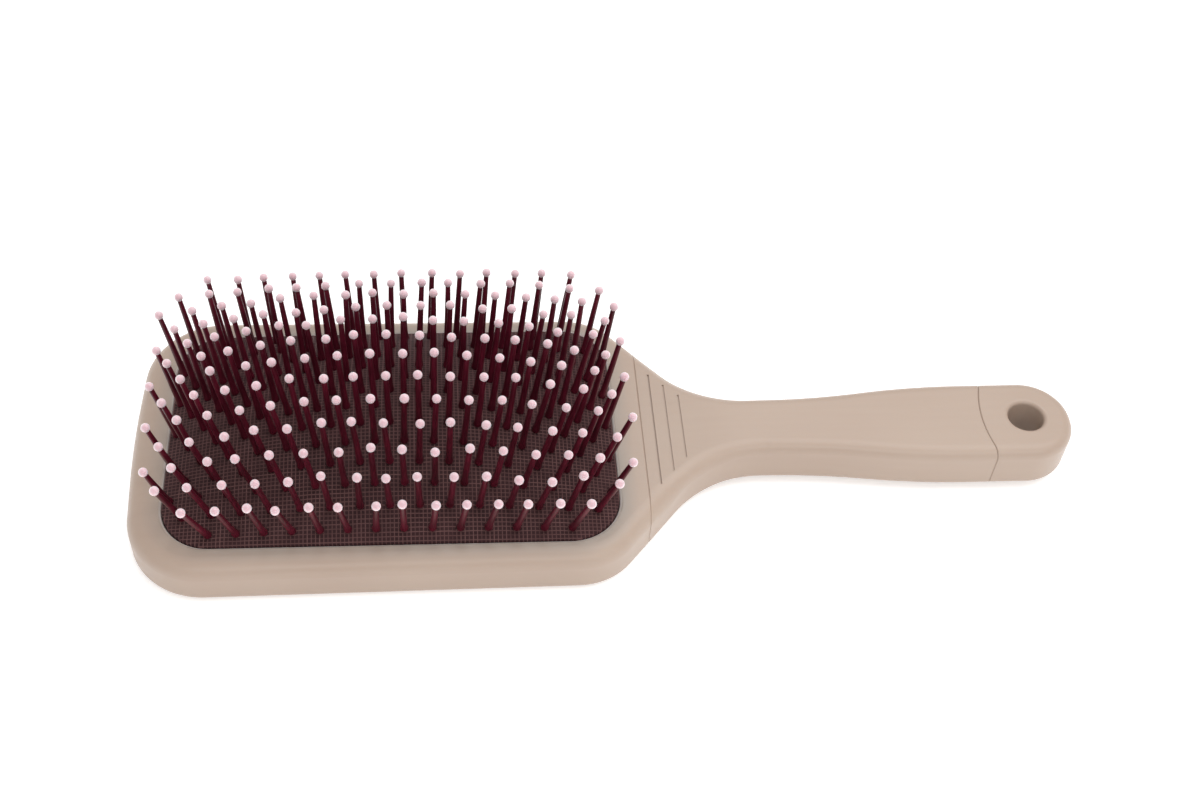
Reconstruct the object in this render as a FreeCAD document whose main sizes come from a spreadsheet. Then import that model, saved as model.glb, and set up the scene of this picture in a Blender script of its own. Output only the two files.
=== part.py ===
"""Paddle brush, as a parametric document of separate pieces, in millimetres.

The origin lies on the flat back of the head, under the middle of the cushion. +X runs along
the handle to its free end and +Z points the way the pins do.
"""
import FreeCAD, Part
import math
import os
import types

import Sketcher

SIZES = [
    # alias, value, meaning
    ("head_front", 68.2, "from the origin to the nose of the head"),
    ("nose_bow", 2.0, "how far the nose stands before the front corners"),
    ("nose_radius", 300.0, "rounding of the nose in plan"),
    ("front_half_width", 42.8, "half width of the head at its front corners"),
    ("front_corner", 20.0, "plan radius of the front corners"),
    ("shoulder_x", 55.2, "where the side meets the flank of the neck"),
    ("shoulder_half_width", 41.3, "half width of the head there"),
    ("shoulder_radius", 17.6, "plan radius of the shoulders"),
    ("flank_angle", 50.0, "angle of the neck's flanks to the long axis, degrees"),
    ("neck_half_width", 8.8, "half width of the handle at its narrowest"),
    ("neck_radius", 31.0, "plan radius between flank and handle"),
    ("swell_start", 110.5, "where the handle starts to widen"),
    ("swell_end", 138.5, "where it stops widening"),
    ("swell_radius", 190.0, "plan radius at both ends of the swell"),
    ("grip_half_width", 12.4, "half width of the handle at its widest"),
    ("handle_end", 178.8, "from the origin to the handle's free end"),
    ("end_corner", 12.0, "plan radius of the free end"),
    ("head_height", 13.0, "back face to the crown of the bezel"),
    ("handle_top", 14.9, "height of the handle's upper face"),
    ("handle_lift", 1.4, "height of the handle's lower face above the back"),
    ("ramp_start", 69.0, "where the neck starts to rise"),
    ("ramp_end", 87.0, "where the neck reaches the handle's height"),
    ("ramp_radius", 90.0, "side-view radius at both ends of the rise"),
    ("easing_start", 70.0, "where the upper edge rounding starts to tighten"),
    ("easing_end", 97.0, "where the upper edge rounding is as tight as on the handle"),
    ("upper_edge", 4.4, "edge rounding of the head on the pin side"),
    ("grip_edge", 3.0, "edge rounding of the handle on the pin side"),
    ("lower_edge", 2.4, "edge rounding on the back"),
    ("wall", 3.4, "wall of the head and of the handle"),
    ("neck_wall", 4.2, "wall between the head's chamber and the seam"),
    ("seam_x", 65.6, "parting line between head and handle"),
    ("seam_chamfer", 0.2, "bevel that shows the parting lines"),
    ("opening_half_length", 58.0, "half length of the cushion opening"),
    ("opening_half_width", 35.4, "half width of the cushion opening"),
    ("opening_corner", 13.0, "corner radius of the opening"),
    ("lip_thickness", 2.5, "thickness of the lip over the cushion's flange"),
    ("lip_round", 0.9, "rounding of the lip's upper edge"),
    ("tang_half_width", 5.2, "half width of the head's tang in the handle"),
    ("tang_length", 24.0, "length of the tang"),
    ("channel_floor", 4.2, "height of the floor of the handle's channel"),
    ("channel_roof", 10.8, "height of the roof of the channel"),
    ("plug_clearance", 0.1, "gap around the tang and around the cap's spigot"),
    ("groove_width", 0.5, "width of the decorative grooves"),
    ("groove_depth", 0.35, "depth of the decorative grooves"),
    ("groove_pitch", 3.6, "spacing of the grooves"),
    ("groove_first", 68.9, "place of the first groove"),
    ("groove_long", 18.6, "half length of the first groove"),
    ("groove_shorter", 4.0, "by how much each next groove's half length shrinks"),
    ("cap_side", 156.9, "parting line of the end cap, at the handle's sides"),
    ("cap_middle", 153.7, "meeting point of that line's two tangents"),
    ("cap_radius", 36.0, "plan radius of that line"),
    ("cap_gap", 0.06, "gap between handle and end cap"),
    ("spigot_length", 13.0, "length of the cap's spigot"),
    ("spigot_half_width", 8.8, "half width of the spigot"),
    ("hole_x", 166.7, "axis of the hanging hole"),
    ("hole_radius", 4.6, "radius of the hanging hole"),
    ("hole_round", 1.1, "rounding of the hole's rims"),
    ("cover_thickness", 2.2, "thickness of the back cover"),
    ("cover_gap", 0.1, "gap around the back cover"),
    ("cover_bevel", 0.4, "bevel around the back cover"),
    ("rib_inset", 0.6, "from the opening's edge out to the clamping rib"),
    ("rib_width", 2.0, "width of the clamping rib"),
    ("flange_width", 2.3, "how far the cushion's flange reaches under the lip"),
    ("pad_thickness", 1.6, "thickness of the rubber cushion"),
    ("cloth_thickness", 0.35, "thickness of the woven facing"),
    ("layer_gap", 0.05, "gap between layers"),
    ("opening_gap", 0.4, "gap between the lip and the cushion's wall"),
    ("dome_base", 12.8, "height where the dome's formula starts"),
    ("dome_rise", 12.0, "rise of the dome over that height"),
    ("dome_half_length", 59.6, "half length at which the formula reaches its base"),
    ("dome_half_width", 36.2, "half width at which it does"),
    ("dome_power_x", 1.94, "roundness of the dome along the brush"),
    ("dome_power_y", 1.69, "roundness of the dome across the brush"),
    ("vent_radius", 0.9, "radius of the cushion's air vent"),
    ("row_pitch", 5.35, "spacing of the pin rows"),
    ("pin_pitch", 7.45, "spacing of the pins in a full row"),
    ("outer_pin_pitch", 6.98, "spacing of the pins in the two outer rows"),
    ("lean_x", 0.22, "outward lean of the pins at the opening's ends, as a slope"),
    ("lean_y", 0.41, "outward lean of the pins at its sides, as a slope"),
    ("pin_length", 19.4, "from the cloth to the middle of the ball tip"),
    ("foot_radius", 1.35, "radius of the pin's foot under the cushion"),
    ("foot_thickness", 0.8, "thickness of the foot"),
    ("foot_depth", 2.4, "depth of the foot's upper face under the cloth"),
    ("shank_radius", 0.7, "radius of the pin inside the cushion"),
    ("collar_radius", 1.05, "radius of the pin's collar on the cloth"),
    ("collar_height", 1.8, "height of the collar"),
    ("pin_base_radius", 0.84, "radius of the pin above the collar"),
    ("pin_neck_radius", 0.62, "radius of the pin under its ball tip"),
    ("ball_radius", 1.2, "radius of the ball tip"),
    ("tenon_radius", 0.45, "radius of the pin's end inside the ball"),
    ("tenon_gap", 0.02, "gap around that end"),
    ("hole_slack", 0.1, "gap around pins in the cushion and in the cloth"),
]

PINS_PER_ROW = [14] + [15, 16] * 5 + [15, 14]
DOME_STEPS = (24, 16)
ROOM = 40.0


class Length:
    """A number together with the sheet expression that it comes from."""

    def __init__(self, value, text):
        self.value = value
        self.text = text

    def __add__(self, other):
        return Length(self.value + number(other), f"({self.text} + {text(other)})")

    def __sub__(self, other):
        return Length(self.value - number(other), f"({self.text} - {text(other)})")

    def __mul__(self, other):
        return Length(self.value * number(other), f"({self.text} * {text(other)})")

    def __truediv__(self, other):
        return Length(self.value / number(other), f"({self.text} / {text(other)})")

    def __neg__(self):
        return Length(-self.value, f"(-1 * {self.text})")


def number(length):
    return length.value if isinstance(length, Length) else float(length)


def text(length):
    return length.text if isinstance(length, Length) else f"{length:g}"


def tangent(angle):
    """The tangent of an angle given in degrees."""
    return Length(math.tan(math.radians(angle.value)), f"tan({angle.text})")


def make_sizes(document):
    """Fill the document's sheet and return its values by alias."""
    sheet = document.addObject("Spreadsheet::Sheet", "Sizes")
    sizes = types.SimpleNamespace()
    for row, (alias, value, meaning) in enumerate(SIZES, start=1):
        sheet.set(f"A{row}", meaning)
        sheet.set(f"B{row}", f"{value:g}")
        sheet.setAlias(f"B{row}", alias)
        setattr(sizes, alias, Length(value, f"Sizes.{alias}"))
    document.recompute()
    return sizes


# Sketches and features


def new_body(document, name):
    body = document.addObject("PartDesign::Body", name)
    body.Label = name
    body.Placement = FreeCAD.Placement()
    return body


def new_sketch(body, name, role="XY_Plane", offset=0.0):
    """A sketch on one of the body's origin planes, moved along that plane's normal."""
    planes = [f for f in body.Origin.OriginFeatures if f.Role == role]
    sketch = body.newObject("Sketcher::SketchObject", f"{body.Name}_{name}")
    sketch.AttachmentSupport = [(planes[0], "")]
    sketch.MapMode = "FlatFace"
    sketch.setExpression("AttachmentOffset.Base.z", text(offset))
    return sketch


def hold(sketch, kind, places, length):
    """Add a dimension and bind it to its expression."""
    index = sketch.addConstraint(Sketcher.Constraint(kind, *places, number(length)))
    sketch.setExpression(f"Constraints[{index}]", text(length))


def hold_point(sketch, item, end, x, y):
    """Fix a point of the sketch at x, y from the sketch's origin."""
    hold(sketch, "DistanceX", (-1, 1, item, end), x)
    hold(sketch, "DistanceY", (-1, 1, item, end), y)


def corner_geometry(before, here, after, radius):
    """Where a rounded corner starts and ends, its centre, and whether it turns left."""
    back = (before - here).normalize()
    onward = (after - here).normalize()
    half = back.getAngle(onward) / 2
    reach = radius / math.tan(half)
    centre = here + (back + onward).normalize() * (radius / math.sin(half))
    left = (here - before).cross(after - here).z > 0
    return here + back * reach, here + onward * reach, centre, left


def outline(sketch, corners):
    """A closed outline through corners (x, y, radius), each corner rounded; 0 stays sharp."""
    points = [FreeCAD.Vector(number(x), number(y), 0) for x, y, _ in corners]
    radii = [number(r) for _, _, r in corners]
    count = len(corners)
    rounded = {
        i: corner_geometry(points[i - 1], points[i], points[(i + 1) % count], radii[i])
        for i in range(count)
        if radii[i]
    }
    lines = []
    for i in range(count):
        after = (i + 1) % count
        start = rounded[i][1] if i in rounded else points[i]
        stop = rounded[after][0] if after in rounded else points[after]
        lines.append(sketch.addGeometry(Part.LineSegment(start, stop), False))
    for i, (x, y, radius) in enumerate(corners):
        incoming, leaving = lines[i - 1], lines[i]
        if i not in rounded:
            sketch.addConstraint(Sketcher.Constraint("Coincident", incoming, 2, leaving, 1))
            hold_point(sketch, leaving, 1, x, y)
            continue
        entry, way_out, centre, left = rounded[i]
        start, stop = (entry, way_out) if left else (way_out, entry)
        angles = [math.atan2(p.y - centre.y, p.x - centre.x) for p in (start, stop)]
        circle = Part.Circle(centre, FreeCAD.Vector(0, 0, 1), radii[i])
        arc = sketch.addGeometry(Part.ArcOfCircle(circle, *angles), False)
        first, last = (1, 2) if left else (2, 1)
        sketch.addConstraint(Sketcher.Constraint("Tangent", incoming, 2, arc, first))
        sketch.addConstraint(Sketcher.Constraint("Tangent", arc, last, leaving, 1))
        hold(sketch, "Radius", (arc,), radius)
        mark = sketch.addGeometry(Part.Point(points[i]), True)
        hold_point(sketch, mark, 1, x, y)
        sketch.addConstraint(Sketcher.Constraint("PointOnObject", mark, 1, incoming))
        sketch.addConstraint(Sketcher.Constraint("PointOnObject", mark, 1, leaving))


def rectangle(sketch, low_x, high_x, low_y, high_y, radius=0.0):
    outline(
        sketch,
        [
            (high_x, high_y, radius),
            (low_x, high_y, radius),
            (low_x, low_y, radius),
            (high_x, low_y, radius),
        ],
    )


def circle(sketch, x, y, radius):
    middle = FreeCAD.Vector(number(x), number(y), 0)
    normal = FreeCAD.Vector(0, 0, 1)
    item = sketch.addGeometry(Part.Circle(middle, normal, number(radius)), False)
    hold(sketch, "Radius", (item,), radius)
    hold_point(sketch, item, 3, x, y)


def feature(body, kind, name):
    made = body.newObject(f"PartDesign::{kind}", f"{body.Name}_{name}")
    body.Tip = made
    return made


def pad(body, sketch, length, name):
    made = feature(body, "Pad", name)
    made.Profile = (sketch, [""])
    made.setExpression("Length", text(length))
    body.Document.recompute()
    return made


def pocket(body, sketch, length, name, upward=True, both_ways=False):
    """Cut along the sketch's normal, and make sure that something was cut away."""
    before = body.Shape.Volume
    made = feature(body, "Pocket", name)
    made.Profile = (sketch, [""])
    made.Reversed = upward
    if both_ways:
        made.SideType = "Symmetric"
    made.setExpression("Length", text(length))
    body.Document.recompute()
    if not body.Shape.Volume < before - 1e-3:
        raise ValueError(f"{made.Name} cuts nothing")
    return made


def round_edges(body, wanted, radius, name, kind="Fillet"):
    """Fillet or chamfer the edges of the body's tip for which wanted(edge) is true."""
    base = body.Tip
    edges = [f"Edge{i}" for i, e in enumerate(base.Shape.Edges, start=1) if wanted(e)]
    made = feature(body, kind, name)
    made.Base = (base, edges)
    made.setExpression("Radius" if kind == "Fillet" else "Size", text(radius))
    body.Document.recompute()
    return made


def lies_at(edge, axis, place):
    """Whether an edge lies in the plane where the given coordinate equals place."""
    low, high = getattr(edge.BoundBox, f"{axis}Min"), getattr(edge.BoundBox, f"{axis}Max")
    return abs(low - number(place)) < 1e-4 and abs(high - number(place)) < 1e-4


# Plan outlines


def mirrored(corners):
    """The corners of one side, in order, then the same on the other side, back to the start."""
    return corners + [(x, -y, r) for x, y, r in reversed(corners) if number(y)]


def flank_shift(sizes, inset):
    return tangent(sizes.flank_angle / 2) * inset


def flank_half_width(sizes, x, inset):
    """Half width of the neck's straight flank at x, for an outline moved inwards by inset."""
    corner = sizes.shoulder_x - flank_shift(sizes, inset)
    fall = (x - corner) * tangent(sizes.flank_angle)
    return sizes.shoulder_half_width - inset - fall


def head_corners(sizes, rear_x, inset=0.0):
    """The head's plan outline, cut off at rear_x and moved inwards by inset."""
    front = sizes.nose_bow - sizes.head_front
    one_side = [
        (rear_x, flank_half_width(sizes, rear_x, inset), 0.0),
        (
            sizes.shoulder_x - flank_shift(sizes, inset),
            sizes.shoulder_half_width - inset,
            sizes.shoulder_radius - inset,
        ),
        (front + inset, sizes.front_half_width - inset, sizes.front_corner - inset),
        (-sizes.head_front + inset, 0.0, sizes.nose_radius),
    ]
    return mirrored(one_side)


def handle_corners(sizes, front_x, inset=0.0):
    """One side of the handle's plan outline from front_x to the end of its swell."""
    fall = (sizes.shoulder_half_width - sizes.neck_half_width) / tangent(sizes.flank_angle)
    return [
        (front_x, flank_half_width(sizes, front_x, inset), 0.0),
        (
            sizes.shoulder_x + fall - flank_shift(sizes, inset),
            sizes.neck_half_width - inset,
            sizes.neck_radius + inset,
        ),
        (sizes.swell_start, sizes.neck_half_width - inset, sizes.swell_radius),
        (sizes.swell_end, sizes.grip_half_width - inset, sizes.swell_radius),
    ]


def cap_line(sizes, shift=0.0):
    """The end cap's parting line: two sharp ends and the bow between them."""
    return [
        (sizes.cap_side + shift, sizes.grip_half_width, 0.0),
        (sizes.cap_middle + shift, 0.0, sizes.cap_radius),
        (sizes.cap_side + shift, -sizes.grip_half_width, 0.0),
    ]


def opening_rectangle(sizes, sketch, outset):
    """The cushion opening's outline, moved outwards by outset."""
    half_length = sizes.opening_half_length + outset
    half_width = sizes.opening_half_width + outset
    radius = sizes.opening_corner + outset
    rectangle(sketch, -half_length, half_length, -half_width, half_width, radius)


# Moulded shells


def make_head_shell(document, sizes):
    body = new_body(document, "head_shell")
    plan = new_sketch(body, "plan")
    outline(plan, head_corners(sizes, sizes.seam_x))
    pad(body, plan, sizes.head_height, "block")

    def on_outline(edge, height):
        return lies_at(edge, "Z", height) and not lies_at(edge, "X", sizes.seam_x)

    round_edges(body, lambda e: on_outline(e, sizes.head_height), sizes.upper_edge, "crown")
    round_edges(body, lambda e: on_outline(e, 0.0), sizes.lower_edge, "foot")
    round_edges(
        body, lambda e: lies_at(e, "X", sizes.seam_x), sizes.seam_chamfer, "seam", "Chamfer"
    )

    chamber = new_sketch(body, "chamber")
    outline(chamber, head_corners(sizes, sizes.seam_x - sizes.neck_wall, sizes.wall))
    pocket(body, chamber, sizes.head_height - sizes.lip_thickness, "hollow")
    opening = new_sketch(body, "opening")
    opening_rectangle(sizes, opening, 0.0)
    pocket(body, opening, sizes.head_height + 1.0, "window")

    def on_lip(edge):
        box = edge.BoundBox
        reach = number(sizes.opening_half_length) + 0.1
        inside = -reach < box.XMin and box.XMax < reach
        around = abs(edge.CenterOfMass.y) < number(sizes.opening_half_width) + 0.1
        return lies_at(edge, "Z", sizes.head_height) and inside and around

    round_edges(body, on_lip, sizes.lip_round, "lip")

    tang = new_sketch(body, "tang", "YZ_Plane", sizes.seam_x - 1.0)
    rectangle(
        tang,
        -sizes.tang_half_width,
        sizes.tang_half_width,
        sizes.channel_floor + sizes.plug_clearance,
        sizes.channel_roof - sizes.plug_clearance,
    )
    pad(body, tang, sizes.tang_length + 1.0, "tongue")
    return body


def make_handle_block(document, sizes):
    """The handle's outside before its edges are rounded: plan outline cut by two ramps."""
    body = new_body(document, "handle_block")
    plan = new_sketch(body, "plan")
    side = handle_corners(sizes, sizes.seam_x)
    other = [(x, -y, r) for x, y, r in reversed(side)]
    outline(plan, side + cap_line(sizes) + other)
    pad(body, plan, sizes.handle_top + 1.0, "block")
    before, beyond = sizes.seam_x - 5.0, sizes.handle_end
    ramps = [
        ("rise", sizes.head_height, sizes.handle_top, sizes.handle_top + 5.0),
        ("lift", Length(0.0, "0"), sizes.handle_lift, -sizes.handle_lift),
    ]
    for name, low, high, outside in ramps:
        ramp = new_sketch(body, name, "XZ_Plane")
        outline(
            ramp,
            [
                (before, low, 0.0),
                (sizes.ramp_start, low, sizes.ramp_radius),
                (sizes.ramp_end, high, sizes.ramp_radius),
                (beyond, high, 0.0),
                (beyond, outside, 0.0),
                (before, outside, 0.0),
            ],
        )
        pocket(body, ramp, sizes.shoulder_half_width * 2, f"{name}_cut", both_ways=True)
    return body


def round_handle(document, sizes, base, name, is_wanted, radius_at):
    """Round the wanted edges of base with a radius that may change along the handle."""
    rounding = document.addObject("Part::Fillet", name)
    rounding.Base = base
    rounding.Edges = [
        (i, radius_at(e.valueAt(e.FirstParameter).x), radius_at(e.valueAt(e.LastParameter).x))
        for i, e in enumerate(base.Shape.Edges, start=1)
        if is_wanted(e)
    ]
    document.recompute()
    return rounding


def rounded_handle(document, sizes):
    """The block with its long edges rounded; the upper radius eases from head to grip."""
    block = make_handle_block(document, sizes)
    middle = sizes.handle_top.value / 2

    def along_side(edge):
        box = edge.BoundBox
        apart = box.YMin > 1.0 or box.YMax < -1.0
        upright = box.XLength < 0.01 and box.YLength < 0.01
        in_seam = lies_at(edge, "X", sizes.seam_x)
        at_cap = box.XMin > sizes.cap_middle.value
        return apart and not (upright or in_seam or at_cap)

    def upper_radius(x):
        easing = sizes.easing_end.value - sizes.easing_start.value
        share = min(max((x - sizes.easing_start.value) / easing, 0.0), 1.0)
        return sizes.upper_edge.value * (1 - share) + sizes.grip_edge.value * share

    upper = round_handle(
        document,
        sizes,
        block,
        "handle_upper_edges",
        lambda e: along_side(e) and e.CenterOfMass.z > middle,
        upper_radius,
    )
    return round_handle(
        document,
        sizes,
        upper,
        "handle_lower_edges",
        lambda e: along_side(e) and e.CenterOfMass.z < middle,
        lambda x: sizes.lower_edge.value,
    )


def at_cap_line(sizes, edge, shift=0.0):
    """Whether an edge runs round the end cap's parting face."""
    box = edge.BoundBox
    near = box.XMin > sizes.cap_middle.value + shift + 0.5
    near = near and box.XMax < sizes.cap_side.value + shift + 0.01
    inside = box.ZLength > 0.5 and abs(edge.CenterOfMass.y) < sizes.grip_half_width.value / 2
    seam = box.XLength < 0.01 and box.YLength < 0.01 and box.YMax < 11.0 and box.YMin > -11.0
    return near and not inside and not seam


def make_handle_shell(document, sizes):
    body = new_body(document, "handle_shell")
    body.BaseFeature = rounded_handle(document, sizes)
    document.recompute()
    bevel = sizes.seam_chamfer
    round_edges(body, lambda e: lies_at(e, "X", sizes.seam_x), bevel, "seam", "Chamfer")
    round_edges(body, lambda e: at_cap_line(sizes, e), bevel, "cap_seam", "Chamfer")

    channel = new_sketch(body, "channel", offset=sizes.channel_floor)
    hollow = handle_corners(sizes, sizes.seam_x - 1.0, sizes.wall)
    hollow += [(sizes.cap_side + 1.0, sizes.grip_half_width - sizes.wall, 0.0)]
    outline(channel, mirrored(hollow))
    pocket(body, channel, sizes.channel_roof - sizes.channel_floor, "hollow")

    slope = (sizes.handle_top - sizes.head_height) / (sizes.ramp_end - sizes.ramp_start)
    for i in range(3):
        x = sizes.groove_first + sizes.groove_pitch * i
        half = sizes.groove_long - sizes.groove_shorter * i
        floor = sizes.head_height - sizes.groove_depth
        if x.value > sizes.ramp_start.value:
            floor = floor + slope * (x - sizes.ramp_start)
        groove = new_sketch(body, f"groove_{i + 1}", offset=floor)
        half_width = sizes.groove_width / 2
        rectangle(groove, x - half_width, x + half_width, -half, half)
        pocket(body, groove, sizes.groove_depth + 3.0, f"line_{i + 1}")
    return body


def make_end_cap(document, sizes):
    body = new_body(document, "end_cap")
    plan = new_sketch(body, "plan", offset=sizes.handle_lift)
    far, half, radius = sizes.handle_end, sizes.grip_half_width, sizes.end_corner
    outline(plan, cap_line(sizes, sizes.cap_gap) + [(far, -half, radius), (far, half, radius)])
    pad(body, plan, sizes.handle_top - sizes.handle_lift, "block")

    def around(edge, height):
        return lies_at(edge, "Z", height) and edge.CenterOfMass.x > number(sizes.cap_side)

    gap = sizes.cap_gap.value
    round_edges(body, lambda e: around(e, sizes.handle_top), sizes.grip_edge, "upper")
    round_edges(body, lambda e: around(e, sizes.handle_lift), sizes.lower_edge, "lower")
    round_edges(
        body, lambda e: at_cap_line(sizes, e, gap), sizes.seam_chamfer, "seam", "Chamfer"
    )

    hole = new_sketch(body, "hole")
    circle(hole, sizes.hole_x, 0.0, sizes.hole_radius)
    pocket(body, hole, sizes.handle_top + 1.0, "hanging_hole")

    def rim(edge):
        wide = abs(edge.BoundBox.XLength - 2 * number(sizes.hole_radius)) < 0.01
        return wide and edge.BoundBox.ZLength < 0.01

    round_edges(body, rim, sizes.hole_round, "rims")

    spigot = new_sketch(body, "spigot", "YZ_Plane", sizes.cap_side - sizes.spigot_length)
    rectangle(
        spigot,
        -sizes.spigot_half_width,
        sizes.spigot_half_width,
        sizes.channel_floor + sizes.plug_clearance,
        sizes.channel_roof - sizes.plug_clearance,
    )
    pad(body, spigot, sizes.spigot_length + 1.0, "plug")
    return body


def make_back_cover(document, sizes):
    """The inset back of the head, with the rib that clamps the cushion's flange."""
    body = new_body(document, "back_cover")
    plan = new_sketch(body, "plan")
    rear = sizes.seam_x - sizes.neck_wall - sizes.cover_gap
    outline(plan, head_corners(sizes, rear, sizes.wall + sizes.cover_gap))
    pad(body, plan, sizes.cover_thickness, "plate")
    round_edges(body, lambda e: lies_at(e, "Z", 0.0), sizes.cover_bevel, "bevel", "Chamfer")
    rib = new_sketch(body, "rib", offset=sizes.cover_thickness)
    opening_rectangle(sizes, rib, sizes.rib_inset + sizes.rib_width)
    opening_rectangle(sizes, rib, sizes.rib_inset)
    pad(body, rib, flange_underside(sizes) - sizes.layer_gap - sizes.cover_thickness, "clamp")
    return body


# Cushion


def flange_underside(sizes):
    """Height of the lower face of the rubber flange."""
    lip = sizes.head_height - sizes.lip_thickness
    return lip - sizes.layer_gap * 2 - sizes.cloth_thickness - sizes.pad_thickness


def dome_height(sizes, x, y):
    """Height of the cloth's upper face."""
    along = abs(x / sizes.dome_half_length.value) ** sizes.dome_power_x.value
    across = abs(y / sizes.dome_half_width.value) ** sizes.dome_power_y.value
    return sizes.dome_base.value + sizes.dome_rise.value * (1 - along) * (1 - across)


def rounded_block(sizes, outset, low, high):
    """The opening's outline, moved outwards by outset, as a block between two heights."""
    half_length = sizes.opening_half_length.value + outset
    half_width = sizes.opening_half_width.value + outset
    radius = sizes.opening_corner.value + outset
    corner = FreeCAD.Vector(-half_length, -half_width, low)
    block = Part.makeBox(2 * half_length, 2 * half_width, high - low, corner)
    upright = [e for e in block.Edges if abs(e.BoundBox.ZLength - (high - low)) < 1e-6]
    return block.makeFillet(radius, upright)


def dome_block(sizes, depth, outset, low):
    """Everything under the dome's face lowered by depth, inside the opening's outline."""
    reach_x = sizes.dome_half_length.value
    reach_y = sizes.dome_half_width.value
    steps_x, steps_y = DOME_STEPS
    grid = [
        [
            FreeCAD.Vector(x, y, dome_height(sizes, x, y) - depth)
            for y in (reach_y * (2 * j / steps_y - 1) for j in range(steps_y + 1))
        ]
        for x in (reach_x * (2 * i / steps_x - 1) for i in range(steps_x + 1))
    ]
    face = Part.BSplineSurface()
    face.interpolate(grid)
    below = face.toShape().extrude(FreeCAD.Vector(0, 0, -ROOM))
    top = sizes.dome_base.value + sizes.dome_rise.value
    return below.common(rounded_block(sizes, outset, low, top + 1.0))


def pin_places(sizes):
    """For each row, the point on the cloth and the direction of each of its pins."""
    rows = []
    middle = (len(PINS_PER_ROW) - 1) / 2
    for row, count in enumerate(PINS_PER_ROW):
        outer = row in (0, len(PINS_PER_ROW) - 1)
        pitch = sizes.outer_pin_pitch.value if outer else sizes.pin_pitch.value
        y = (row - middle) * sizes.row_pitch.value
        places = []
        for i in range(count):
            x = (i - (count - 1) / 2) * pitch
            lean_x = sizes.lean_x.value * x / sizes.opening_half_length.value
            lean_y = sizes.lean_y.value * y / sizes.opening_half_width.value
            base = FreeCAD.Vector(x, y, dome_height(sizes, x, y))
            places.append((base, FreeCAD.Vector(lean_x, lean_y, 1).normalize()))
        rows.append(places)
    return rows


def hole_tools(sizes, radius):
    """A cylinder along each pin, long enough to pass through the cushion."""
    length = 10.0
    return [
        Part.makeCylinder(radius, length, base - way * (length / 2), way)
        for row in pin_places(sizes)
        for base, way in row
    ]


def foot_rooms(sizes):
    """Clearance around the feet of the first and last pin of each row, beside the wall."""
    slack = sizes.hole_slack.value
    reach = sizes.foot_depth.value + sizes.foot_thickness.value + slack
    radius = sizes.foot_radius.value + slack
    height = sizes.foot_thickness.value + 2 * slack
    return [
        Part.makeCylinder(radius, height, base - way * reach, way)
        for row in pin_places(sizes)
        for base, way in (row[0], row[-1])
    ]


def new_solid(document, name, shape, place=None):
    made = document.addObject("Part::Feature", name)
    made.Label = name
    made.Shape = shape
    made.Placement = FreeCAD.Placement(place or FreeCAD.Vector(), FreeCAD.Rotation())
    return made


def make_cushion_pad(document, sizes):
    """Rubber dome with a wall down through the opening and a flange under the lip."""
    low = flange_underside(sizes).value
    flange_top = low + sizes.pad_thickness.value
    cover = sizes.cloth_thickness.value + sizes.layer_gap.value
    wall = -sizes.opening_gap.value - cover
    thickness = sizes.pad_thickness.value
    flange = rounded_block(sizes, sizes.flange_width.value, low, flange_top)
    solid = dome_block(sizes, cover, wall, low).fuse(flange)
    solid = solid.cut(dome_block(sizes, cover + thickness, wall - thickness, low - 1.0))
    solid = solid.cut(hole_tools(sizes, sizes.shank_radius.value + sizes.hole_slack.value))
    solid = solid.cut(foot_rooms(sizes))
    vent_x = sizes.pin_pitch.value / 2
    top = FreeCAD.Vector(vent_x, 0, low)
    solid = solid.cut(Part.makeCylinder(sizes.vent_radius.value, ROOM, top))
    return new_solid(document, "cushion_pad", solid)


def make_pad_cloth(document, sizes):
    """Woven facing that follows the rubber, wall and flange included."""
    thickness = sizes.cloth_thickness.value
    high = sizes.head_height.value - sizes.lip_thickness.value - sizes.layer_gap.value
    low = high - thickness
    wall = -sizes.opening_gap.value
    flange = rounded_block(sizes, sizes.flange_width.value, low, high)
    solid = dome_block(sizes, 0.0, wall, low).fuse(flange)
    solid = solid.cut(dome_block(sizes, thickness, wall - thickness, low - 1.0))
    solid = solid.cut(hole_tools(sizes, sizes.collar_radius.value + sizes.hole_slack.value))
    return new_solid(document, "pad_cloth", solid)


# Pins


def ball_underside(sizes):
    """Height along the pin where the ball's surface meets the bore for the pin's end."""
    bore = sizes.tenon_radius.value + sizes.tenon_gap.value
    return sizes.pin_length.value - math.sqrt(sizes.ball_radius.value**2 - bore**2)


def pin_profile(sizes):
    """Half section of a pin along +Z, from its foot to the end inside the ball."""
    foot_top = -sizes.foot_depth.value
    foot_bottom = foot_top - sizes.foot_thickness.value
    shoulder = ball_underside(sizes) - sizes.tenon_gap.value
    return [
        (0.0, foot_bottom),
        (sizes.foot_radius.value, foot_bottom),
        (sizes.foot_radius.value, foot_top),
        (sizes.shank_radius.value, foot_top),
        (sizes.shank_radius.value, 0.0),
        (sizes.collar_radius.value, 0.0),
        (sizes.pin_base_radius.value, sizes.collar_height.value),
        (sizes.pin_neck_radius.value, shoulder),
        (sizes.tenon_radius.value, shoulder),
        (sizes.tenon_radius.value, sizes.pin_length.value),
        (0.0, sizes.pin_length.value),
    ]


def turned(profile):
    """A solid of revolution about Z from a half section given as radius, height."""
    points = [FreeCAD.Vector(radius, 0, height) for radius, height in profile]
    face = Part.Face(Part.makePolygon(points + points[:1]))
    return face.revolve(FreeCAD.Vector(), FreeCAD.Vector(0, 0, 1), 360)


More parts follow.
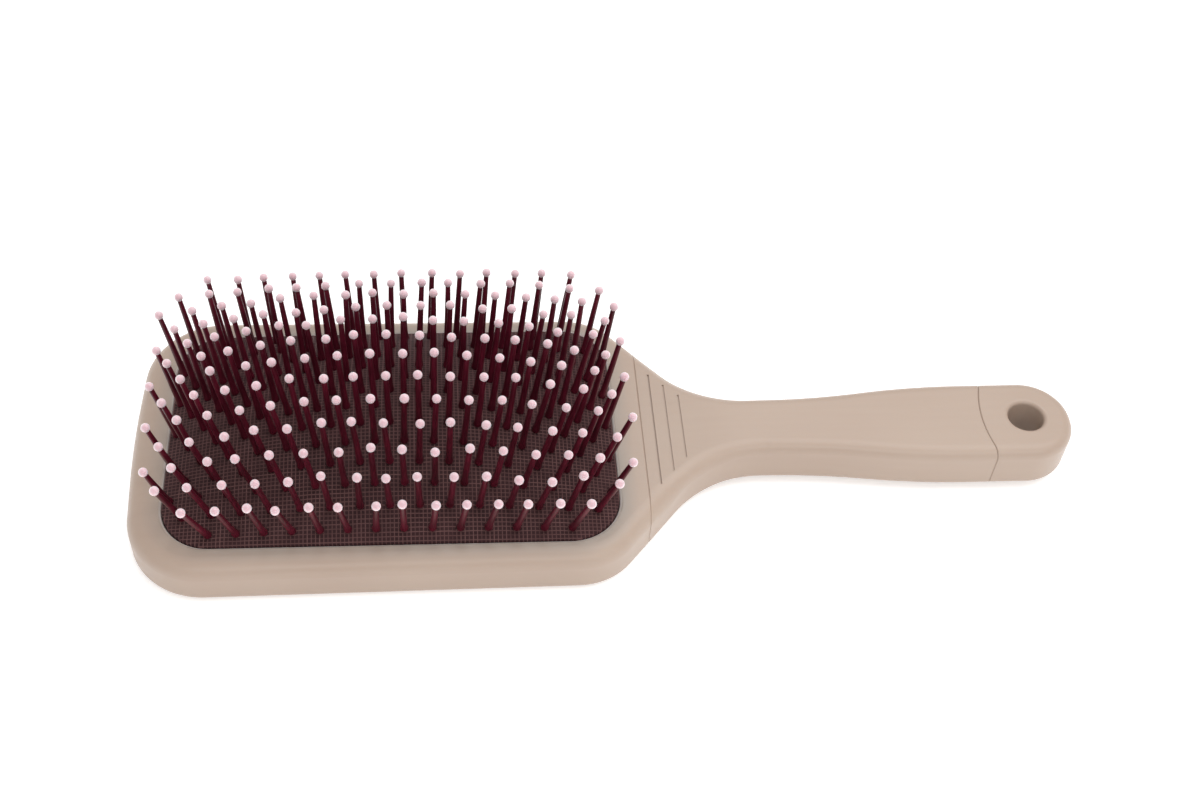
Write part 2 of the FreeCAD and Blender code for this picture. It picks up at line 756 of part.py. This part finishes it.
def ball_tip(sizes):
    bore = sizes.tenon_radius.value + sizes.tenon_gap.value
    middle = FreeCAD.Vector(0, 0, sizes.pin_length.value)
    ball = Part.makeSphere(sizes.ball_radius.value, middle)
    start = middle - FreeCAD.Vector(0, 0, 2 * sizes.ball_radius.value)
    depth = 2 * sizes.ball_radius.value + sizes.tenon_gap.value
    return ball.cut(Part.makeCylinder(bore, depth, start))


def make_rows(document, sizes):
    """One group of pins and one group of ball tips for each row."""
    pin = turned(pin_profile(sizes))
    tip = ball_tip(sizes)
    upright = FreeCAD.Vector(0, 0, 1)
    for number_of_row, row in enumerate(pin_places(sizes), start=1):
        start = FreeCAD.Vector(0, row[0][0].y, sizes.dome_base.value)
        for kind, piece in (("pin", pin), ("tip", tip)):
            copies = []
            for base, way in row:
                copy = piece.copy()
                turn = FreeCAD.Rotation(upright, way)
                copy.Placement = FreeCAD.Placement(base - start, turn)
                copies.append(copy)
            name = f"{kind}_row_{number_of_row:02d}"
            new_solid(document, name, Part.makeCompound(copies), start)


# Checking and writing


def check_document(document):
    for item in document.Objects:
        if "Invalid" in item.State or "Error" in item.State:
            raise ValueError(f"{item.Name} failed: {item.State}")


def write_parts(document):
    os.makedirs("parts", exist_ok=True)
    kinds = ("PartDesign::Body", "Part::Feature")
    pieces = [p for p in document.Objects if p.TypeId in kinds and p.Label != "handle_block"]
    for item in pieces:
        if item.Shape.isNull() or not item.Shape.isValid() or not item.Shape.Solids:
            raise ValueError(f"{item.Label} has no valid solid")
    for item in pieces:
        item.Shape.exportStep(f"parts/{item.Label}.step")
        print(item.Label, len(item.Shape.Solids), round(item.Shape.Volume, 1))


def main():
    document = FreeCAD.newDocument("paddle_brush")
    sizes = make_sizes(document)
    make_head_shell(document, sizes)
    make_back_cover(document, sizes)
    make_handle_shell(document, sizes)
    make_end_cap(document, sizes)
    make_cushion_pad(document, sizes)
    make_pad_cloth(document, sizes)
    make_rows(document, sizes)
    document.recompute()
    check_document(document)
    write_parts(document)


main()
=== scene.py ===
"""Looks of the paddle brush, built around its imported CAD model. Metres throughout."""

import math
import random

import bmesh
import bpy
import numpy as np
from mathutils import Matrix, Vector, noise


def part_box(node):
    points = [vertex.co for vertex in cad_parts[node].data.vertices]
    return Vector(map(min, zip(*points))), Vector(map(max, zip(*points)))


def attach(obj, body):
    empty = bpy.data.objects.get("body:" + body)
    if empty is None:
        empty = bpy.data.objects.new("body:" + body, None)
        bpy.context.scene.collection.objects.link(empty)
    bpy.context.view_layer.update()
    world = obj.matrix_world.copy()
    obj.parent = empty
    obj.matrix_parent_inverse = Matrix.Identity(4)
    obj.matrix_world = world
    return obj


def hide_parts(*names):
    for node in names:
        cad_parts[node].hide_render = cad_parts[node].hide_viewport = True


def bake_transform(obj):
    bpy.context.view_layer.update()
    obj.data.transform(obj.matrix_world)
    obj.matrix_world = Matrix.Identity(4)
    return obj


MM = 0.001

# The cushion, as in the CAD model
OPENING = (58.0 * MM, 35.4 * MM)
OPENING_CORNER = 13.0 * MM
CLOTH_GAP = 0.2 * MM
LIP_DROP = 0.3 * MM
BEZEL_BOTTOM = 8.0 * MM
# Width of the painted shade on the bezel around the opening
PAINTED_SHADE_WIDTH = 5 * MM
# Band just outside the opening's edge that gets a painted highlight along the lip
LIP_HIGHLIGHT_BAND = (0.2 * MM, 0.7 * MM)
DOME_REACH = (59.6 * MM, 36.2 * MM)
DOME_POWER = (1.94, 1.69)
CLOTH_THICKNESS = 0.35 * MM
RUBBER_THICKNESS = 1.6 * MM
DOME_RISE = 12.0 * MM

# The woven facing
THREAD_PITCH = 1.03 * MM
POINTS_PER_THREAD = 4
THREAD_HEIGHT = 0.04 * MM
DIMPLE_DEPTH = 0.3 * MM
DIMPLE_WIDTH = 1.5 * MM
RIPPLE_HEIGHT = 0.2 * MM
RIPPLE_SIZE = 9 * MM
RIPPLE_MARGIN = 4 * MM

# Pins, as heights along the pin from the cloth
FOOT_BOTTOM = -3.2 * MM
BALL_HEIGHT = 19.4 * MM
BALL_RADIUS = 1.17 * MM
PIN_PROFILE = [
    (1.25, -3.2),
    (1.35, -3.1),
    (1.35, -2.5),
    (1.2, -2.4),
    (0.7, -2.35),
    (0.7, -0.45),
    (0.9, -0.4),
    (1.06, -0.22),
    (1.11, 0.1),
    (1.09, 0.6),
    (1.0, 1.2),
    (0.92, 1.8),
    (0.87, 2.5),
    (0.82, 6.0),
    (0.77, 11.0),
    (0.71, 16.0),
    (0.68, 18.2),
    (0.6, 18.6),
]
THROAT_RADIUS = 0.6 * MM
CROWN_GAP = 0.02
PIN_SIDES = 14
BALL_SIDES = 18
BALL_RINGS = 12
LEAN_SPREAD = math.radians(1.0)
LENGTH_SPREAD = 0.25 * MM
BOW_SPREAD = 0.18 * MM
BALL_SPREAD = 0.03
WELD_GAP = 0.001 * MM
END_SLICE = 0.1 * MM
SEED = 11

FLOOR_HEIGHT = -0.2 * MM


# Materials


def new_material(name):
    material = bpy.data.materials.new(name)
    material.use_nodes = True
    nodes = material.node_tree.nodes
    return material, nodes, material.node_tree.links, nodes["Principled BSDF"]


def add_node(nodes, kind, **values):
    node = nodes.new(kind)
    for key, value in values.items():
        setattr(node, key, value)
    return node


def maths(nodes, links, operation, a, b=None):
    node = add_node(nodes, "ShaderNodeMath", operation=operation)
    for socket, value in zip(node.inputs, (a, b)):
        if value is None:
            continue
        if isinstance(value, (int, float)):
            socket.default_value = value
        else:
            links.new(value, socket)
    return node.outputs[0]


def noise_at(nodes, links, vector, scale, detail=3.0):
    node = add_node(nodes, "ShaderNodeTexNoise")
    node.inputs["Scale"].default_value = scale
    node.inputs["Detail"].default_value = detail
    links.new(vector, node.inputs["Vector"])
    return node.outputs["Fac"]


def stretched(nodes, links, scale):
    coordinates = add_node(nodes, "ShaderNodeTexCoord")
    mapping = add_node(nodes, "ShaderNodeMapping")
    mapping.inputs["Scale"].default_value = scale
    links.new(coordinates.outputs["Object"], mapping.inputs["Vector"])
    return mapping.outputs["Vector"]


def remap(nodes, links, value, low, high, new_low, new_high):
    node = add_node(nodes, "ShaderNodeMapRange", clamp=True)
    for i, number in enumerate((low, high, new_low, new_high), start=1):
        node.inputs[i].default_value = number
    links.new(value, node.inputs[0])
    return node.outputs[0]


def mixed(nodes, links, share, first, second):
    node = add_node(nodes, "ShaderNodeMix", data_type="RGBA")
    links.new(share, node.inputs["Factor"])
    for socket, value in ((node.inputs[6], first), (node.inputs[7], second)):
        if isinstance(value, tuple):
            socket.default_value = (*value, 1.0)
        else:
            links.new(value, socket)
    return node.outputs[2]


def bump(nodes, links, shader, height, distance, strength=1.0):
    node = add_node(nodes, "ShaderNodeBump")
    node.inputs["Distance"].default_value = distance
    node.inputs["Strength"].default_value = strength
    links.new(height, node.inputs["Height"])
    links.new(node.outputs["Normal"], shader.inputs["Normal"])


def opening_distance(nodes, links):
    """Distance from the edge of the cushion's opening, seen from above; inside it, below 0."""
    parts = add_node(nodes, "ShaderNodeSeparateXYZ")
    links.new(stretched(nodes, links, (1, 1, 1)), parts.inputs[0])
    squares = []
    for axis, half in zip("XY", OPENING):
        away = maths(nodes, links, "ABSOLUTE", parts.outputs[axis])
        beyond = maths(nodes, links, "SUBTRACT", away, half - OPENING_CORNER)
        outside = maths(nodes, links, "MAXIMUM", beyond, 0.0)
        squares.append(maths(nodes, links, "POWER", outside, 2.0))
    length = maths(nodes, links, "SQRT", maths(nodes, links, "ADD", *squares))
    return maths(nodes, links, "SUBTRACT", length, OPENING_CORNER)


def plastic():
    """Satin greige plastic: flow grain, pores and colour drift, with painted shade on the bezel
    around the cushion's opening and a painted highlight along its lip.
    """
    material, nodes, links, shader = new_material("greige_plastic")
    plain = stretched(nodes, links, (1, 1, 1))
    grain = noise_at(nodes, links, stretched(nodes, links, (25.0, 420.0, 420.0)), 1.0, 4.0)
    drift = noise_at(nodes, links, plain, 22.0, 2.0)
    pores = noise_at(nodes, links, plain, 2600.0, 2.0)
    tone = maths(nodes, links, "ADD", maths(nodes, links, "MULTIPLY", grain, 0.5), drift)
    share = remap(nodes, links, tone, 0.45, 1.05, 0.0, 1.0)
    clean = mixed(nodes, links, share, (0.361, 0.268, 0.211), (0.396, 0.304, 0.243))
    distance = opening_distance(nodes, links)
    # Painted shade: within a few millimetres of the opening the bezel turns greyer and darker, in
    # patches, where the pins shade it.
    patchy = maths(nodes, links, "MULTIPLY", drift, 1.2)
    parts = add_node(nodes, "ShaderNodeSeparateXYZ")
    links.new(plain, parts.inputs[0])
    bezel = maths(nodes, links, "GREATER_THAN", parts.outputs["Z"], BEZEL_BOTTOM)
    fading = remap(nodes, links, distance, 0.0, PAINTED_SHADE_WIDTH, 1.0, 0.0)
    near = maths(nodes, links, "MULTIPLY", fading, bezel)
    painted_shade = maths(nodes, links, "MULTIPLY", near, patchy)
    colour = mixed(nodes, links, painted_shade, clean, (0.285, 0.255, 0.225))
    # Painted highlight: a thin near-white band just outside the opening's edge, along the lip.
    edge = remap(nodes, links, distance, *LIP_HIGHLIGHT_BAND, 0.7, 0.0)
    painted_lip_highlight = maths(nodes, links, "MULTIPLY", edge, bezel)
    links.new(mixed(nodes, links, painted_lip_highlight, colour, (0.78, 0.73, 0.69)), shader.inputs["Base Color"])
    links.new(remap(nodes, links, grain, 0.3, 0.7, 0.34, 0.44), shader.inputs["Roughness"])
    shader.inputs["Specular IOR Level"].default_value = 0.5
    shader.inputs["Subsurface Weight"].default_value = 0.05
    shader.inputs["Subsurface Radius"].default_value = (0.004, 0.002, 0.001)
    height = maths(nodes, links, "ADD", maths(nodes, links, "MULTIPLY", grain, 0.6), pores)
    bump(nodes, links, shader, height, 0.00002, 0.6)
    return material


def thread_lines(nodes, links, coordinate, other):
    """Bright along each thread across this coordinate, dark between; no two are alike."""
    phase = maths(nodes, links, "MULTIPLY", coordinate, 2 * math.pi / THREAD_PITCH)
    wave = maths(nodes, links, "COSINE", phase)
    line = remap(nodes, links, wave, 0.55, 1.0, 0.0, 1.0)
    place = add_node(nodes, "ShaderNodeCombineXYZ")
    links.new(maths(nodes, links, "MULTIPLY", coordinate, 0.5 / THREAD_PITCH), place.inputs[0])
    links.new(maths(nodes, links, "MULTIPLY", other, 0.04 / THREAD_PITCH), place.inputs[1])
    uneven = noise_at(nodes, links, place.outputs[0], 1.0, 2.0)
    return maths(nodes, links, "MULTIPLY", line, remap(nodes, links, uneven, 0.3, 0.7, 0.3, 1.0))


def woven():
    """Open plain weave: pinkish threads over dark red gaps, rubbed a little unevenly."""
    material, nodes, links, shader = new_material("facing_cloth")
    plain = stretched(nodes, links, (1, 1, 1))
    parts = add_node(nodes, "ShaderNodeSeparateXYZ")
    links.new(plain, parts.inputs[0])
    x, y = parts.outputs["X"], parts.outputs["Y"]
    across, along = thread_lines(nodes, links, x, y), thread_lines(nodes, links, y, x)
    lines = maths(nodes, links, "MAXIMUM", across, along)
    patches = noise_at(nodes, links, plain, 120.0, 4.0)
    fibre = noise_at(nodes, links, plain, 4200.0, 2.0)
    thread = mixed(nodes, links, fibre, (0.095, 0.043, 0.042), (0.185, 0.096, 0.090))
    gap = mixed(nodes, links, patches, (0.019, 0.0065, 0.0075), (0.044, 0.016, 0.017))
    links.new(mixed(nodes, links, lines, gap, thread), shader.inputs["Base Color"])
    shader.inputs["Roughness"].default_value = 0.75
    shader.inputs["Specular IOR Level"].default_value = 0.15
    shader.inputs["Sheen Weight"].default_value = 0.04
    shader.inputs["Sheen Roughness"].default_value = 0.5
    bump(nodes, links, shader, fibre, 0.00003, 0.5)
    return material


def rubber():
    material, nodes, links, shader = new_material("cushion_rubber")
    plain = stretched(nodes, links, (1, 1, 1))
    cloudy = noise_at(nodes, links, plain, 140.0, 3.0)
    colour = mixed(nodes, links, cloudy, (0.020, 0.010, 0.012), (0.035, 0.018, 0.020))
    links.new(colour, shader.inputs["Base Color"])
    shader.inputs["Roughness"].default_value = 0.7
    bump(nodes, links, shader, noise_at(nodes, links, plain, 1500.0), 0.00003, 0.4)
    return material


def pin_nylon():
    """Glossy wine-red nylon in cloudy tones, with faint drawing lines."""
    material, nodes, links, shader = new_material("pin_nylon")
    plain = stretched(nodes, links, (1, 1, 1))
    streaks = noise_at(nodes, links, stretched(nodes, links, (1400.0, 1400.0, 120.0)), 1.0)
    cloudy = noise_at(nodes, links, plain, 70.0, 2.0)
    tone = maths(nodes, links, "MULTIPLY", streaks, cloudy)
    share = remap(nodes, links, tone, 0.1, 0.4, 0.0, 1.0)
    colour = mixed(nodes, links, share, (0.040, 0.0025, 0.007), (0.098, 0.006, 0.017))
    links.new(colour, shader.inputs["Base Color"])
    shader.inputs["Roughness"].default_value = 0.32
    shader.inputs["Specular IOR Level"].default_value = 0.3
    shader.inputs["Coat Weight"].default_value = 0.05
    shader.inputs["Coat Roughness"].default_value = 0.15
    bump(nodes, links, shader, streaks, 0.00002, 0.4)
    return material


def ball_nylon():
    """Pale pink nylon balls, slightly uneven in dye, with a painted reflection that turns the rim
    near-white.
    """
    material, nodes, links, shader = new_material("ball_nylon")
    plain = stretched(nodes, links, (1, 1, 1))
    dye = noise_at(nodes, links, plain, 260.0, 2.0)
    body = mixed(nodes, links, dye, (0.52, 0.32, 0.355), (0.62, 0.41, 0.45))
    # Painted reflection: towards the rim the colour turns near-white, as if it mirrored the white
    # studio.
    facing = add_node(nodes, "ShaderNodeLayerWeight")
    facing.inputs["Blend"].default_value = 0.5
    colour = mixed(nodes, links, facing.outputs["Facing"], body, (0.92, 0.80, 0.83))
    links.new(colour, shader.inputs["Base Color"])
    shader.inputs["Roughness"].default_value = 0.3
    shader.inputs["Subsurface Weight"].default_value = 0.25
    shader.inputs["Subsurface Radius"].default_value = (0.0012, 0.0006, 0.0006)
    shader.inputs["Coat Weight"].default_value = 0.3
    bump(nodes, links, shader, noise_at(nodes, links, plain, 1800.0), 0.00002, 0.3)
    return material


def floor_paper():
    material, nodes, links, shader = new_material("floor_paper")
    mottle = noise_at(nodes, links, stretched(nodes, links, (1, 1, 1)), 3.0, 2.0)
    colour = mixed(nodes, links, mottle, (0.93, 0.93, 0.93), (0.95, 0.95, 0.95))
    links.new(colour, shader.inputs["Base Color"])
    shader.inputs["Roughness"].default_value = 0.9
    shader.inputs["Specular IOR Level"].default_value = 0.1
    shader.inputs["Emission Color"].default_value = (1.0, 1.0, 1.0, 1.0)
    shader.inputs["Emission Strength"].default_value = 0.3
    return material


# Meshes


def mesh_object(name, points, faces, material):
    mesh = bpy.data.meshes.new(name)
    mesh.from_pydata(points, [], faces)
    mesh.update()
    mesh.shade_smooth()
    mesh.materials.append(material)
    thing = bpy.data.objects.new(name, mesh)
    bpy.context.scene.collection.objects.link(thing)
    return thing


def lathe(profile, sides):
    """Points and faces of a closed surface of revolution about Z; the ends are capped."""
    points = [
        Vector((r * math.cos(turn), r * math.sin(turn), z))
        for r, z in profile
        for turn in (2 * math.pi * i / sides for i in range(sides))
    ]
    faces = []
    for ring in range(len(profile) - 1):
        low = ring * sides
        for i in range(sides):
            j = (i + 1) % sides
            faces.append((low + i, low + j, low + sides + j, low + sides + i))
    last = (len(profile) - 1) * sides
    faces.append(tuple(reversed(range(sides))))
    faces.append(tuple(range(last, last + sides)))
    return points, faces


def pin_axes(node):
    """Where each pin of a CAD row stands: its point on the cloth and its direction."""
    work = bmesh.new()
    work.from_mesh(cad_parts[node].data)
    bmesh.ops.remove_doubles(work, verts=work.verts, dist=WELD_GAP)
    left = set(work.verts)
    axes = []
    while left:
        island, edge = set(), {left.pop()}
        while edge:
            island |= edge
            edge = {e.other_vert(v) for v in edge for e in v.link_edges} - island
        left -= island
        co = np.array([v.co for v in island])
        middle = co.mean(0)
        way = np.linalg.svd(co - middle, full_matrices=False)[2][0]
        way = way * math.copysign(1.0, way[2])
        along = (co - middle) @ way
        limits = (along.min(), along.max())
        ends = [co[abs(along - limit) < END_SLICE].mean(0) for limit in limits]
        way = Vector(ends[1] - ends[0]).normalized()
        axes.append((Vector(ends[0]) - way * FOOT_BOTTOM, way))
    work.free()
    return sorted(axes, key=lambda axis: axis[0].x)


def outline_distance(x, y, half, corner):
    """Signed distance of points to a rounded rectangle, and the way outwards."""
    qx = abs(x) - (half[0] - corner)
    qy = abs(y) - (half[1] - corner)
    both = (qx > 0) & (qy > 0)
    length = np.hypot(np.maximum(qx, 0), np.maximum(qy, 0))
    distance = np.where(both, length, np.maximum(qx, qy)) - corner
    safe = np.maximum(length, 1e-12)
    out_x = np.where(both, np.maximum(qx, 0) / safe, (qx >= qy) * 1.0)
    out_y = np.where(both, np.maximum(qy, 0) / safe, (qx < qy) * 1.0)
    return distance, out_x * np.sign(x), out_y * np.sign(y)


def dome_height(x, y):
    along = np.minimum(abs(x / DOME_REACH[0]), 1.0) ** DOME_POWER[0]
    across = np.minimum(abs(y / DOME_REACH[1]), 1.0) ** DOME_POWER[1]
    return DOME_BASE + DOME_RISE * (1 - along) * (1 - across)


def domed_sheet(step, inset):
    """A grid over the opening, snapped to its outline. Returns x, y and the faces."""
    half = [size - inset for size in OPENING]
    corner = OPENING_CORNER - inset
    counts = [int(size / step) + 1 for size in half]
    xs = np.arange(-counts[0], counts[0] + 1) * step
    ys = np.arange(-counts[1], counts[1] + 1) * step
    x, y = (grid.ravel() for grid in np.meshgrid(xs, ys, indexing="ij"))
    distance, out_x, out_y = outline_distance(x, y, half, corner)
    index = np.arange(len(x)).reshape(len(xs), len(ys))
    corners = [index[:-1, :-1], index[1:, :-1], index[1:, 1:], index[:-1, 1:]]
    faces = np.stack([c.ravel() for c in corners], axis=1)
    faces = faces[(distance[faces] < 0.4 * step).all(axis=1)]
    used = np.bincount(faces.ravel(), minlength=len(x))
    border = (used > 0) & (used < 4)
    x = np.where(border, x - distance * out_x, x)
    y = np.where(border, y - distance * out_y, y)
    kept = np.flatnonzero(used)
    renumber = np.full(len(used), -1)
    renumber[kept] = np.arange(len(kept))
    return x[kept], y[kept], renumber[faces]


def border_edges(faces):
    """Directed edges that only one face uses."""
    edges = {(int(a), int(b)) for face in faces for a, b in zip(face, np.roll(face, -1))}
    return [edge for edge in edges if (edge[1], edge[0]) not in edges]


def with_skirt(points, faces, bottom):
    """Adds a wall from the border of a sheet straight down to one height."""
    walls = sorted(border_edges(faces))
    rim = sorted({a for edge in walls for a in edge})
    lowered = {a: len(points) + i for i, a in enumerate(rim)}
    points = [tuple(p) for p in points] + [(points[a][0], points[a][1], bottom) for a in rim]
    faces = [tuple(int(i) for i in face) for face in faces]
    faces += [(b, a, lowered[a], lowered[b]) for a, b in walls]
    return points, faces


def make_cloth(axes, material):
    step = THREAD_PITCH / POINTS_PER_THREAD
    x, y, faces = domed_sheet(step, CLOTH_GAP)
    z = dome_height(x, y)
    turn_x, turn_y = 2 * math.pi * x / THREAD_PITCH, 2 * math.pi * y / THREAD_PITCH
    crossing = np.cos(turn_x / 2) * np.cos(turn_y / 2)
    z += THREAD_HEIGHT * (0.4 * (np.cos(turn_x) + np.cos(turn_y)) + 0.4 * crossing)
    for base, way in axes:
        away = np.hypot(x - base.x, y - base.y)
        z -= DIMPLE_DEPTH * np.exp(-((away / DIMPLE_WIDTH) ** 2))
    inside = -outline_distance(x, y, OPENING, OPENING_CORNER)[0]
    calm = np.clip(inside / RIPPLE_MARGIN, 0.0, 1.0)
    waves = [noise.noise(Vector((a, b, 0.0)) / RIPPLE_SIZE) for a, b in zip(x, y)]
    z += RIPPLE_HEIGHT * calm * np.array(waves)
    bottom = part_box("pad_cloth")[0].z + CLOTH_THICKNESS
    points, faces = with_skirt(np.stack([x, y, z], axis=1), faces, bottom)
    cloth = mesh_object("cushion_facing", points, faces, material)
    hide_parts("pad_cloth")
    return cloth


def make_rubber(material):
    x, y, faces = domed_sheet(2 * THREAD_PITCH, CLOTH_GAP + 2 * CLOTH_THICKNESS)
    z = dome_height(x, y) - DIMPLE_DEPTH - CLOTH_THICKNESS
    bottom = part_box("cushion_pad")[0].z
    points, faces = with_skirt(np.stack([x, y, z], axis=1), faces, bottom)
    dome = mesh_object("cushion_dome", points, faces, material)
    thicken = dome.modifiers.new("thickness", "SOLIDIFY")
    thicken.thickness = RUBBER_THICKNESS
    thicken.offset = -1.0
    shaped = dome.evaluated_get(bpy.context.evaluated_depsgraph_get())
    mesh = bpy.data.meshes.new_from_object(shaped)
    dome.modifiers.clear()
    dome.data = mesh
    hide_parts("cushion_pad")
    return dome


def ball_profile():
    """Half section of a ball from its throat around the pin to its top."""
    start = math.asin(THROAT_RADIUS / BALL_RADIUS)
    angles = [start + (math.pi - CROWN_GAP - start) * i / BALL_RINGS for i in range(BALL_RINGS + 1)]
    return [
        (BALL_RADIUS * math.sin(a), BALL_HEIGHT - BALL_RADIUS * math.cos(a)) for a in angles
    ]


def make_row(number, axes, chance, pin_material, ball_material):
    """One row of pins and its balls; each pin leans, bows and differs a little."""
    pin_shape = lathe([(r * MM, z * MM) for r, z in PIN_PROFILE], PIN_SIDES)
    ball_shape = lathe(ball_profile(), BALL_SIDES)
    pins, balls = ([], []), ([], [])
    for base, way in axes:
        lean = Vector((chance.gauss(0, 1), chance.gauss(0, 1), 0)) * LEAN_SPREAD
        way = (way + lean).normalized()
        longer = chance.uniform(-1, 1) * LENGTH_SPREAD / BALL_HEIGHT
        bow = Vector((chance.uniform(-1, 1), chance.uniform(-1, 1), 0)) * BOW_SPREAD
        rounder = 1 + chance.uniform(-BALL_SPREAD, BALL_SPREAD)
        place = Matrix.Translation(base) @ way.to_track_quat("Z", "Y").to_matrix().to_4x4()
        for (points, faces), (shape, skin), is_ball in (
            (pins, pin_shape, False),
            (balls, ball_shape, True),
        ):
            first = len(points)
            for point in shape:
                share = max(point.z / BALL_HEIGHT, 0.0)
                moved = point.copy()
                if is_ball:
                    centre = Vector((0, 0, BALL_HEIGHT))
                    moved = centre + (point - centre) * rounder
                    share = 1.0
                moved.z += longer * share * BALL_HEIGHT
                moved += bow * share * (share - 0.5) * 2
                points.append(place @ moved)
            faces.extend(tuple(first + i for i in face) for face in skin)
    for kind, slot, (points, faces), material in (
        ("pin", "pin_nylon", pins, pin_material),
        ("tip", "ball_nylon", balls, ball_material),
    ):
        row = mesh_object(f"{kind}s_{number:02d}", points, faces, material)
        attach(row, f"pins_{number:02d}")
        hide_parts(f"{kind}_row_{number:02d}")


# Stage


def make_floor():
    work = bmesh.new()
    bmesh.ops.create_grid(work, x_segments=8, y_segments=8, size=3.0)
    mesh = bpy.data.meshes.new("floor")
    work.to_mesh(mesh)
    work.free()
    mesh.materials.append(floor_paper())
    floor = bpy.data.objects.new("floor", mesh)
    floor.location.z = FLOOR_HEIGHT
    bpy.context.scene.collection.objects.link(floor)


def area_light(name, place, target, size, power):
    data = bpy.data.lights.new(name, "AREA")
    data.shape = "RECTANGLE"
    data.size, data.size_y = size
    data.energy = power
    lamp = bpy.data.objects.new(name, data)
    lamp.location = place
    lamp.rotation_euler = (Vector(target) - Vector(place)).to_track_quat("-Z", "Y").to_euler()
    bpy.context.scene.collection.objects.link(lamp)


def make_lights():
    world = bpy.data.worlds.new("studio")
    world.use_nodes = True
    background = world.node_tree.nodes["Background"]
    background.inputs["Color"].default_value = (1.0, 1.0, 1.0, 1.0)
    background.inputs["Strength"].default_value = 0.8
    bpy.context.scene.world = world
    area_light("top", (0.35, 0.2, 1.0), (0.1, 0, 0), (1.2, 0.9), 7.2)
    area_light("front", (0.2, -0.9, 0.75), (0.08, 0, 0), (1.4, 0.35), 3.5)


def make_camera():
    """Looks down at the brush from in front, with the frame shifted over the handle."""
    turn, drop, roll = math.radians(1.45), math.radians(50.05), math.radians(-0.06)
    forward = Vector((
        math.sin(turn) * math.cos(drop),
        math.cos(turn) * math.cos(drop),
        -math.sin(drop),
    ))
    right = Vector((math.cos(turn), -math.sin(turn), 0))
    up = right.cross(forward)
    basis = Matrix((right, up, -forward)).transposed().to_4x4()
    data = bpy.data.cameras.new("camera")
    data.sensor_width = 36.0
    data.lens = 48.48
    data.shift_x, data.shift_y = 0.1025, 0.015
    data.clip_start = 0.01
    camera = bpy.data.objects.new("camera", data)
    place = Vector((0.01556, -0.2691, 0.3272 + RIM_HEIGHT))
    camera.matrix_world = Matrix.Translation(place) @ basis @ Matrix.Rotation(roll, 4, "Z")
    bpy.context.scene.collection.objects.link(camera)
    bpy.context.scene.camera = camera


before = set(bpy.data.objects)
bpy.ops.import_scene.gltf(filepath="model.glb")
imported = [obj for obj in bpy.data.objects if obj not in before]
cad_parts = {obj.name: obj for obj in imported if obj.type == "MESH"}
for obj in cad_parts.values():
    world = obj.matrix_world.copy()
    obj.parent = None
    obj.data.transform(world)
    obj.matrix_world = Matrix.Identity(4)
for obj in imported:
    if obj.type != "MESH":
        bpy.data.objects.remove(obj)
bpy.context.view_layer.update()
DOME_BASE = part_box("pad_cloth")[1].z - DOME_RISE
RIM_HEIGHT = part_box("head_shell")[1].z - LIP_DROP

greige = plastic()
for node in ("head_shell", "back_cover", "handle_shell", "end_cap"):
    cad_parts[node].data.materials.clear()
    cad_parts[node].data.materials.append(greige)

rows = {n: pin_axes(f"pin_row_{n:02d}") for n in range(1, 14)}
chance = random.Random(SEED)
pin_material, ball_material = pin_nylon(), ball_nylon()
for number, axes in rows.items():
    make_row(number, axes, chance, pin_material, ball_material)
soft = [
    make_cloth([axis for axes in rows.values() for axis in axes], woven()),
    make_rubber(rubber()),
]
for piece in soft:
    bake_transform(piece)

make_floor()
make_lights()
make_camera()
bpy.context.scene.view_settings.view_transform = "Standard"
